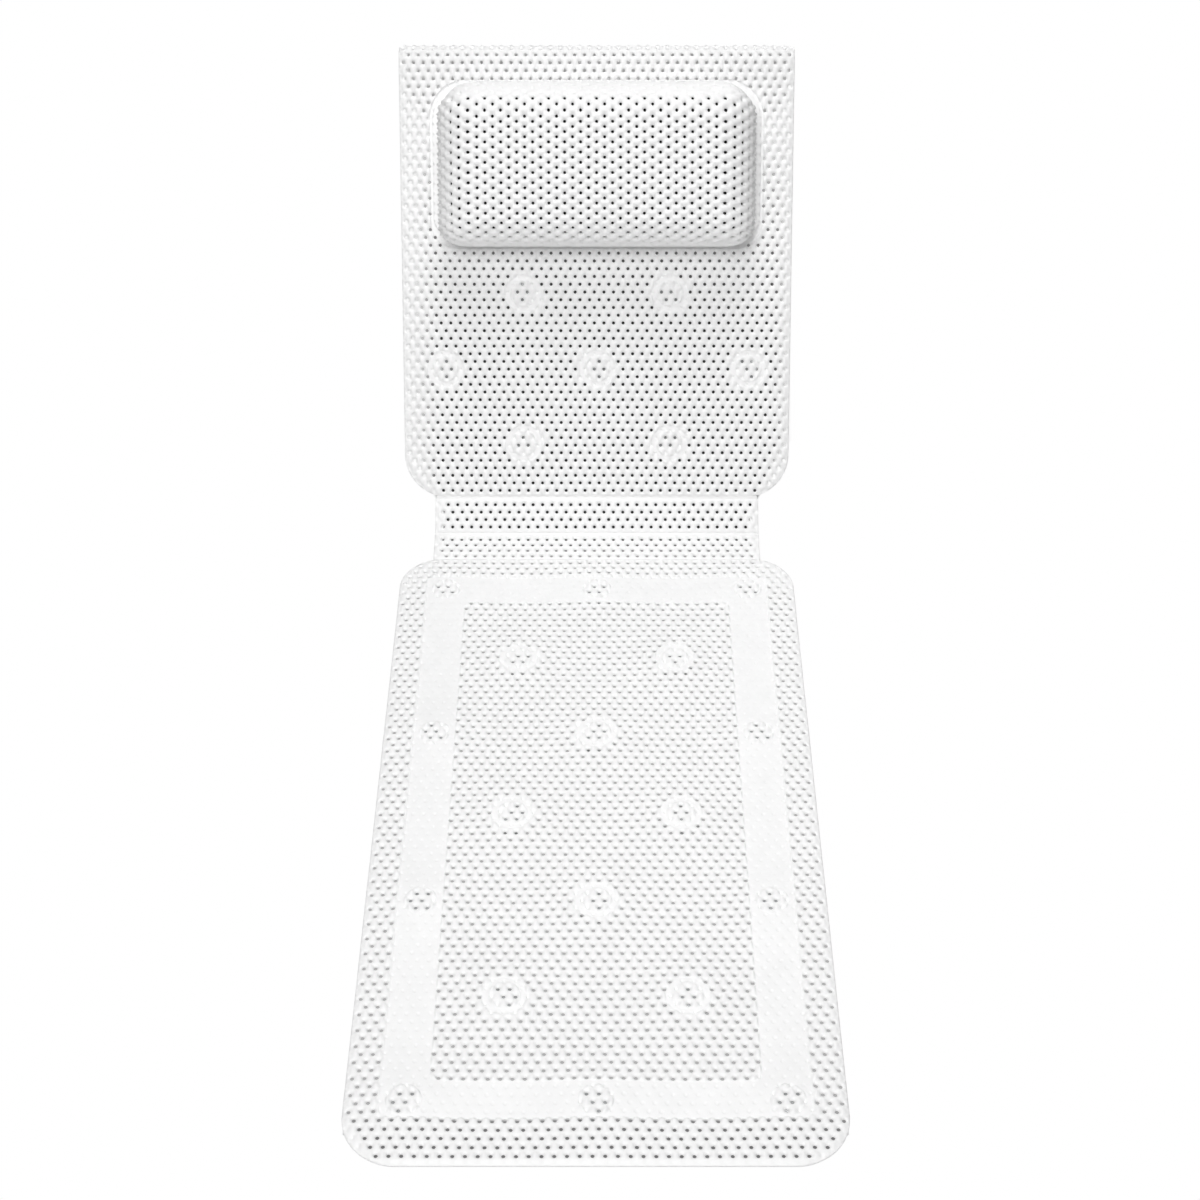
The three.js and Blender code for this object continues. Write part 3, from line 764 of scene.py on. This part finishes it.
def fold_web(name, before, fold, after):
    """A ribbon across a fold, from the sheet before it to the sheet after it."""
    down = (before - fold) / np.linalg.norm(before - fold)
    up = (after - fold) / np.linalg.norm(after - fold)
    bpy.ops.object.select_all(action="DESELECT")
    bpy.ops.mesh.primitive_cube_add(size=1)
    web = bpy.context.object
    web.name = name
    web.data.name = name
    web_size = (2 * strip_high.x - 2 * WEB_INSET, 2 * WEB_REACH, 2 * WEB_HALF)
    run_in_edit_mode(web, "VERT", everything(web), (bpy.ops.transform.resize, {"value": web_size}))
    middle_cuts = [(share / WEB_SEGMENTS - 0.5) * 2 * WEB_REACH for share in range(1, WEB_SEGMENTS)]
    for cut in middle_cuts:
        run_in_edit_mode(
            web, "VERT", everything(web),
            (bpy.ops.mesh.bisect, {"plane_co": (0, cut, 0), "plane_no": (0, 1, 0)}),
        )
    spots = points_of(web)
    flat_y = spots[:, 1].copy()
    flat_z = spots[:, 2].copy()
    share = np.clip(flat_y / WEB_REACH, -1, 1)
    low_part = (1 - share) ** 2 / 4
    high_part = (1 + share) ** 2 / 4
    along = np.outer(1 - share, -down) + np.outer(1 + share, up)
    along /= np.linalg.norm(along, axis=1)[:, None]
    middle = fold + WEB_REACH * (np.outer(low_part, down) + np.outer(high_part, up))
    spots[:, 1] = middle[:, 0] - along[:, 1] * flat_z
    spots[:, 2] = middle[:, 1] + along[:, 0] * flat_z
    put_points(web, spots)
    soften = web.modifiers.new("soft_edges", "BEVEL")
    soften.width = WEB_BEVEL
    soften.segments = 2
    soften.angle_limit = WEB_EDGE
    bpy.ops.object.modifier_apply(modifier=soften.name)
    smooth = web.data.attributes.new("pressed", "FLOAT", "POINT")
    smooth.data.foreach_set("value", np.ones(len(web.data.vertices), np.float32))
    finish_piece(web, foam)
    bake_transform(web)


# Back sheet and rim flap: one run of the mesh, from the weld line up the end wall of the bath, over its rim
# in a tight roll and down behind it. Rings are pressed where the cups are welded on behind, and a tray is
# pressed for the pillow's flange.
ROLL_RADIUS = 0.012
ROLL_HALF_TURN = math.radians(60)
TRAY_GAP = 0.0010
TRAY_BAND = 0.011
TRAY_FLOOR = 0.0006
WELD_BLEND = 0.004
back_cups = sorted(name for name in frame["nodes"] if name.startswith("back_cup"))
rim = fold_place("rim_fold")
panel_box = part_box("back_panel")
flap_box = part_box("rim_flap")
row_low = np.mean([list(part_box("back_cup_01")[0]), list(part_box("back_cup_01")[1])], axis=0)[1:]
row_high = np.mean([list(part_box("back_cup_06")[0]), list(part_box("back_cup_06")[1])], axis=0)[1:]
uphill = (row_high - row_low) / np.linalg.norm(row_high - row_low)
outward = np.array([-uphill[1], uphill[0]])
ROLL_START = float((rim - weld_line) @ uphill) - ROLL_RADIUS * math.sin(ROLL_HALF_TURN)
ROLL_LENGTH = 2 * ROLL_HALF_TURN * ROLL_RADIUS


def on_back(along, out):
    """A place on the back, from its distance up the sheet from the weld line and out of its front."""
    return weld_line + np.multiply.outer(along, uphill) + np.multiply.outer(out, outward)


def from_back(place):
    """The distances up the back and out of its front of a place."""
    return np.array([(place - weld_line) @ uphill, (place - weld_line) @ outward])


def over_rim(along, out):
    """As on_back, but a place past the start of the roll goes round it and down behind the rim."""
    turn = np.clip((along - ROLL_START) / ROLL_RADIUS, 0, 2 * ROLL_HALF_TURN)
    past = np.maximum(along - ROLL_START - ROLL_LENGTH, 0)
    spare = np.where(along < ROLL_START, along - ROLL_START, past)
    up = ROLL_START + (ROLL_RADIUS + out) * np.sin(turn) + spare * np.cos(turn)
    forth = (ROLL_RADIUS + out) * np.cos(turn) - ROLL_RADIUS - spare * np.sin(turn)
    return weld_line + np.outer(up, uphill) + np.outer(forth, outward)


roll_end = over_rim(np.array([ROLL_START + ROLL_LENGTH]), np.array([0.0]))[0]
flap_turn = math.atan2(uphill[1], uphill[0]) - 2 * ROLL_HALF_TURN
flap_fall = roll_end[1] - flap_box[0].z - SHEET / 2 * abs(math.cos(flap_turn))
FLAP_LENGTH = flap_fall / abs(math.sin(flap_turn))
back_outline = Outline(panel_box[1].x, LEAF_GAP, ROLL_START + ROLL_LENGTH + FLAP_LENGTH,
                       SHEET_CORNER, SHEET_CORNER)
back_lattice = Lattice(HOLE_PITCH / 4, 0.0)
back_ring_spots = []
for name in back_cups:
    low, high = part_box(name)
    middle = np.array([(low.y + high.y) / 2, (low.z + high.z) / 2])
    back_ring_spots.append(((low.x + high.x) / 2, from_back(middle)[0]))
pillow_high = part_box("pillow_cover")[1]
PILLOW_WIDTH = 0.280
PILLOW_HEIGHT = 0.141
FLANGE_SIDE = 0.010
FLANGE_END = 0.004
FLANGE_CORNERS = (0.024, 0.034)
PILLOW_AT = 0.3075
flange_outline = Outline(pillow_high.x, PILLOW_AT - PILLOW_HEIGHT / 2 - FLANGE_END,
                         PILLOW_AT + PILLOW_HEIGHT / 2 + FLANGE_END, *FLANGE_CORNERS)


def tray(x, y):
    """1 in the pressed tray for the pillow's flange."""
    inside = flange_outline.inside(x, y) + TRAY_GAP
    return step(-PRESS_SLOPE / 2, 0, inside) * (1 - step(TRAY_BAND, TRAY_BAND + PRESS_SLOPE, inside))


def back_pressed(x, y):
    """How much the back is pressed: its rings and the pillow's tray."""
    return np.maximum(ring_pressed(back_ring_spots, x, y), tray(x, y))


def back_press_edge(x, y):
    """Whether a face of the back lies along a pressed edge."""
    near = np.abs(flange_outline.inside(x, y) + TRAY_GAP) < 2 * PRESS_SLOPE
    return near | ring_edge(back_ring_spots, x, y)


def back_hem(x, y):
    """The distance to the edge, where the weld line to the strip counts as a narrower edge."""
    inside = back_outline.inside(x, y)
    at_weld = HEM_FLAT + (inside - FOLD_FLAT) * (HEM_HOLES - HEM_FLAT) / FOLD_SLOPE
    on_strip = step(strip_high.x, strip_high.x - WELD_BLEND, np.abs(x)) * (y < SHEET_CORNER)
    return inside + (at_weld - inside) * on_strip


def back_closed(x, y):
    """Whether a hole of the back is closed: in the hem, in a ring or in the tray."""
    shut = (back_hem(x, y) < HEM_HOLES) | (back_pressed(x, y) > HALF_PRESSED)
    return shut | ring_closed(back_ring_spots, x, y)


def back_dimples(x, y):
    """How deep the back's closed holes are."""
    return ring_dimples(back_ring_spots, x, y)


back_sheet = perforated_sheet("back_sheet", back_outline, back_lattice, back_closed, back_press_edge)
shape_relief(back_sheet, back_lattice, back_closed, back_pressed, back_hem, back_dimples)
spots = points_of(back_sheet)
sunk = tray(spots[:, 0], spots[:, 1]) * (spots[:, 2] > 0)
spots[:, 2] -= sunk * (PRESSED_TOP - TRAY_FLOOR)
spots[:, 1:] = over_rim(spots[:, 1].copy(), spots[:, 2].copy())
put_points(back_sheet, spots)
finish_piece(back_sheet, foam)
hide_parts("back_panel", "rim_flap")
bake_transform(back_sheet)

# The webs at the three folds, now that both sides of each are known
fold_web("seam_web", seam + np.array([-1.0, 0.0]), seam, crease)
fold_web("crease_web", seam, crease, weld_line)
fold_web("weld_web", crease, weld_line, rim)

# Pillow cover: a second piece of the mesh, with its rows running up and down, moulded over a pad to a cushion
# with round shoulders. Its foot hangs a little, and its flat flange is welded into the back's tray.
SHOULDER_OUT = 0.030
SHOULDER_FOOT = 0.022
SHOULDER_UP = 0.033
SIDE_UP = 0.018
DRAWN_IN = 0.004
CROWN = 0.005
SAG = 0.002
STRETCH = 1.25
FOOT_SQUARE = 3.0
SMOOTH_TOP = 0.016
SMOOTH_FOOT = 0.0225
SMOOTH_SLOPE = 0.002
COVER_OUTER = 1.7
COVER_INNER = 0.6
COVER_HOLE = 0.00127
FLANGE_OUT = 0.0015
CORE_X = PILLOW_WIDTH / 2 - SHOULDER_OUT
CORE_TOP = PILLOW_HEIGHT / 2 - SHOULDER_OUT
CORE_FOOT = PILLOW_HEIGHT / 2 - SHOULDER_FOOT
PROFILE_STEPS = 120

# The cover's profile from the edge of its flat crown outwards: over the shoulder, down the side, out on the
# flange. Each point has its share of the shoulder's reach, its height, and the way outwards of its skin.
turn = np.linspace(0, math.pi / 2, PROFILE_STEPS)
height = SHOULDER_UP + SIDE_UP
profile_out = list(np.sin(turn) * SHOULDER_OUT)
profile_up = list(height - SHOULDER_UP + np.cos(turn) * SHOULDER_UP)
down = np.linspace(0, 1, PROFILE_STEPS)[1:]
profile_out += list(SHOULDER_OUT - DRAWN_IN * down ** 2)
profile_up += list(SIDE_UP * (1 - down) + FLANGE_OUT * down)
flange = np.linspace(0, FLANGE_SIDE + DRAWN_IN, PROFILE_STEPS // 4)[1:]
profile_out += list(SHOULDER_OUT - DRAWN_IN + flange)
profile_up += list(np.full(len(flange), FLANGE_OUT))
profile_out = np.array(profile_out)
profile_up = np.array(profile_up)
profile_run = np.concatenate([[0], np.cumsum(np.hypot(np.diff(profile_out), np.diff(profile_up)))])
SIDE_END = profile_run[2 * PROFILE_STEPS - 2]
BODY_FLAT = SIDE_END / STRETCH
COVER_FLAT = BODY_FLAT + FLANGE_SIDE + DRAWN_IN


def pillow_run(flat):
    """How far along the profile a flat distance from the crown's edge lies, once the cover is stretched."""
    return np.where(flat < BODY_FLAT, flat * STRETCH, SIDE_END + flat - BODY_FLAT)


def cover_flat(x, y):
    """How far a place on the cover is outside its flat crown, with squarer corners at the foot."""
    way_x = np.abs(x - np.clip(x, -CORE_X, CORE_X))
    way_y = np.abs(y - np.clip(y, -CORE_FOOT, CORE_TOP))
    power = np.where(y < 0, FOOT_SQUARE, 2.0)
    return (way_x ** power + way_y ** power) ** (1 / power)


def over_pillow(x, y, out):
    """A place on the pillow from a flat place on its cover, measured from the pillow's middle."""
    core_x = np.clip(x, -CORE_X, CORE_X)
    core_y = np.clip(y, -CORE_FOOT, CORE_TOP)
    way_x = x - core_x
    way_y = y - core_y
    flat = cover_flat(x, y)
    way_x = way_x / np.maximum(flat, TINY)
    way_y = way_y / np.maximum(flat, TINY)
    run = pillow_run(flat)
    reach = np.interp(run, profile_run, profile_out)
    up = np.interp(run, profile_run, profile_up)
    before = run - MILLI / 2
    after = run + MILLI / 2
    ahead = np.interp(after, profile_run, profile_out) - np.interp(before, profile_run, profile_out)
    fall = np.interp(after, profile_run, profile_up) - np.interp(before, profile_run, profile_up)
    size = np.maximum(np.hypot(ahead, fall), TINY)
    lean = np.where(flat > TINY, -fall / size, 0)
    rise = np.where(flat > TINY, np.abs(ahead) / size, 1)
    foot = np.where(way_y < 0, SHOULDER_FOOT / SHOULDER_OUT, 1.0)
    past = np.maximum(reach - SHOULDER_OUT + DRAWN_IN, 0) * (run > SIDE_END)
    end_share = np.where(run > SIDE_END, 1 - (1 - FLANGE_END / FLANGE_SIDE) * way_y ** 2, 1.0)
    reach_y = np.where(run > SIDE_END, (SHOULDER_OUT - DRAWN_IN) * foot + past * end_share, reach * foot)
    reach_x = np.where(run > SIDE_END, SHOULDER_OUT - DRAWN_IN + past * end_share, reach)
    place_x = core_x + way_x * (reach_x + out * lean)
    place_y = core_y + way_y * (reach_y + out * lean)
    body = np.clip((up - FLANGE_OUT) / (height - FLANGE_OUT), 0, 1)
    crown = CROWN * (1 - (np.clip(np.abs(place_x) / (PILLOW_WIDTH / 2), 0, 1)) ** 2)
    crown = crown * (1 - (np.clip(np.abs(place_y) / (PILLOW_HEIGHT / 2), 0, 1)) ** 2)
    place_y = place_y - SAG * body * (1 - body) * 2 * (place_y < 0)
    return place_x, place_y, up + out * rise + crown * body


cover_half = CORE_X + COVER_FLAT
cover_outline = Outline(cover_half, -CORE_FOOT - COVER_FLAT, CORE_TOP + COVER_FLAT, COVER_FLAT, COVER_FLAT)
cover_lattice = Lattice(0.0, 0.0, turned=True, hole=COVER_HOLE)
HOLES_MARGIN = 0.004
HOLES_END = BODY_FLAT - HOLES_MARGIN


def cover_hem(x, y):
    """The distance to the flange, as a hem."""
    return HEM_FLAT + (BODY_FLAT - cover_flat(x, y))


def cover_closed(x, y):
    """Whether a hole of the cover is closed: on the flange, and on the top and foot shoulders."""
    return (cover_flat(x, y) > HOLES_END) | (y > CORE_TOP + SMOOTH_TOP) | (y < -CORE_FOOT - SMOOTH_FOOT)


def cover_pressed(x, y):
    """How smooth the cover is: its top and foot shoulders are drawn smooth by the mould."""
    top = step(-SMOOTH_SLOPE, SMOOTH_SLOPE, y - CORE_TOP - SMOOTH_TOP)
    foot = step(-SMOOTH_SLOPE, SMOOTH_SLOPE, -y - CORE_FOOT - SMOOTH_FOOT)
    return np.maximum(top, foot)


pillow_sheet = perforated_sheet("pillow_sheet", cover_outline, cover_lattice, cover_closed, no_fine_faces)
shape_relief(pillow_sheet, cover_lattice, cover_closed, cover_pressed, cover_hem)
spots = points_of(pillow_sheet)
x, y, out = over_pillow(
    spots[:, 0], spots[:, 1], spots[:, 2] * np.where(spots[:, 2] > 0, COVER_OUTER, COVER_INNER))
spots[:, 0] = x
spots[:, 1:] = on_back(PILLOW_AT + y, out)
put_points(pillow_sheet, spots)
run_in_edit_mode(
    pillow_sheet, "VERT", everything(pillow_sheet),
    (bpy.ops.mesh.normals_make_consistent, {"inside": False}),
)
finish_piece(pillow_sheet, foam)
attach(pillow_sheet, "back")
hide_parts("pillow_cover")

# Pillow pad: a block of foam, cut to the pillow's shape and laid loose inside the cover. Its dark grey is
# painted shade that stands for the shade inside the cover: only its darkness shows, through the cover's
# holes.
PAD_INSET = 0.0045
PAD_SHARE = 0.98
PAD_END = PAD_SHARE * BODY_FLAT
PAD_CLEAR = 0.0005
PAD_CELL = 0.0015
PAD_STEPS_X = 60
PAD_STEPS_Y = 36
bpy.ops.object.select_all(action="DESELECT")
bpy.ops.mesh.primitive_grid_add(x_subdivisions=PAD_STEPS_X, y_subdivisions=PAD_STEPS_Y, size=2)
pad = bpy.context.object
pad.name = "pillow_pad"
pad.data.name = "pillow_pad"
spots = points_of(pad)
spots[:, 0] *= CORE_X + BODY_FLAT
spots[:, 1] *= np.where(spots[:, 1] < 0, CORE_FOOT + BODY_FLAT, CORE_TOP + BODY_FLAT)
put_points(pad, spots)
past = cover_flat(spots[:, 0], spots[:, 1]) >= PAD_END
run_in_edit_mode(pad, "FACE", all_of_face(pad, past), (bpy.ops.mesh.delete, {"type": "FACE"}))
spots = points_of(pad)
near_x = np.clip(spots[:, 0], -CORE_X, CORE_X)
near_y = np.clip(spots[:, 1], -CORE_FOOT, CORE_TOP)
pull = np.minimum(PAD_END / np.maximum(cover_flat(spots[:, 0], spots[:, 1]), TINY), 1)
flat_x = near_x + (spots[:, 0] - near_x) * pull
flat_y = near_y + (spots[:, 1] - near_y) * pull
x, y, out = over_pillow(flat_x, flat_y, -PAD_INSET)
spots[:, 0] = x
spots[:, 1:] = on_back(PILLOW_AT + y, np.maximum(out, SHEET / 2 + PAD_CLEAR))
put_points(pad, spots)
run_in_edit_mode(
    pad, "VERT", everything(pad),
    (bpy.ops.mesh.remove_doubles, {"threshold": WELD}),
    (bpy.ops.mesh.select_all, {"action": "DESELECT"}),
    (bpy.ops.mesh.select_non_manifold, {}),
    (bpy.ops.mesh.edge_face_add, {}),
    (bpy.ops.mesh.select_all, {"action": "SELECT"}),
    (bpy.ops.mesh.normals_make_consistent, {"inside": False}),
)
# Pad foam: dark grey with no gloss, painted shade for the shade inside the pillow, mottled by a cell pattern
pad_painted_shade = bpy.data.materials.new("pad_foam_painted_shade")
pad_painted_shade.use_nodes = True
tree = pad_painted_shade.node_tree
tree.nodes.clear()
cells = add_node(tree, "ShaderNodeTexVoronoi", {}, {"Scale": 1 / PAD_CELL})
place = add_node(tree, "ShaderNodeTexCoord", {}, {})
tree.links.new(place.outputs["Object"], cells.inputs["Vector"])
tint = add_node(tree, "ShaderNodeMix", {"data_type": "RGBA"},
                {"Factor": cells.outputs["Distance"], 6: linear("#3a3a3a"), 7: linear("#585858")})
skin = add_node(tree, "ShaderNodeBsdfPrincipled", {},
                {"Base Color": tint.outputs[2], "Roughness": 0.95, "Specular IOR Level": 0.1})
add_node(tree, "ShaderNodeOutputMaterial", {}, {"Surface": skin.outputs[0]})
finish_piece(pad, pad_painted_shade)
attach(pad, "back")
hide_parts("pillow_core")

# Suction cups: thin flexible discs of clear soft vinyl, moulded with a hollow underside and a round neck,
# and welded by the neck under the sheet's pressed rings and islands.
CUP_STEPS = 32
CUP_STANDS = 0.0065
CUP_PROFILE = [(0.0, 0.0012), (0.007, 0.0010), (0.0125, 0.0005), (0.0162, 0.0), (0.017, 0.0002),
               (0.0165, 0.0007), (0.0128, 0.0016), (0.0103, 0.0023), (0.0100, 0.0044), (0.0, 0.0046)]
bpy.ops.object.select_all(action="DESELECT")
bpy.ops.mesh.primitive_plane_add(size=1)
first_cup = bpy.context.object
first_cup.name = "suction_cup"
run_in_edit_mode(first_cup, "VERT", everything(first_cup), (bpy.ops.mesh.delete, {"type": "VERT"}))
first_cup.data.from_pydata([(r, 0, z) for r, z in CUP_PROFILE],
                           [(i, i + 1) for i in range(len(CUP_PROFILE) - 1)], [])
run_in_edit_mode(
    first_cup, "VERT", everything(first_cup),
    (bpy.ops.mesh.spin, {"steps": CUP_STEPS, "angle": 2 * math.pi, "center": (0, 0, 0), "axis": (0, 0, 1)}),
    (bpy.ops.mesh.select_all, {"action": "SELECT"}),
    (bpy.ops.mesh.remove_doubles, {"threshold": WELD}),
    (bpy.ops.mesh.normals_make_consistent, {"inside": False}),
)
# Clear soft vinyl: plasticised PVC, moulded against polished steel, clear and glossy with a grey-green cast
vinyl = bpy.data.materials.new("clear_soft_vinyl")
vinyl.use_nodes = True
tree = vinyl.node_tree
tree.nodes.clear()
clear = add_node(tree, "ShaderNodeBsdfPrincipled", {},
                 {"Base Color": linear("#eff2f2"), "Roughness": 0.16, "IOR": 1.53,
                  "Transmission Weight": 0.8})
add_node(tree, "ShaderNodeOutputMaterial", {}, {"Surface": clear.outputs[0]})
cup_shape = points_of(first_cup)
for name in seat_cups + back_cups:
    cup = first_cup.copy()
    cup.data = first_cup.data.copy()
    cup.name = name.replace("cup", "sucker")
    cup.data.name = cup.name
    bpy.context.collection.objects.link(cup)
    spots = cup_shape.copy()
    if name in seat_cups:
        at = cup_middle(name)
        spots[:, 0] += at[0]
        spots[:, 1] += at[1]
    else:
        at = back_ring_spots[back_cups.index(name)]
        spots[:, 0] += at[0]
        spots[:, 1:] = on_back(at[1] - cup_shape[:, 1], cup_shape[:, 2] - CUP_STANDS)
    put_points(cup, spots)
    finish_piece(cup, vinyl)
    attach(cup, "seat" if name in seat_cups else "back")
    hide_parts(name)
bpy.data.objects.remove(first_cup)
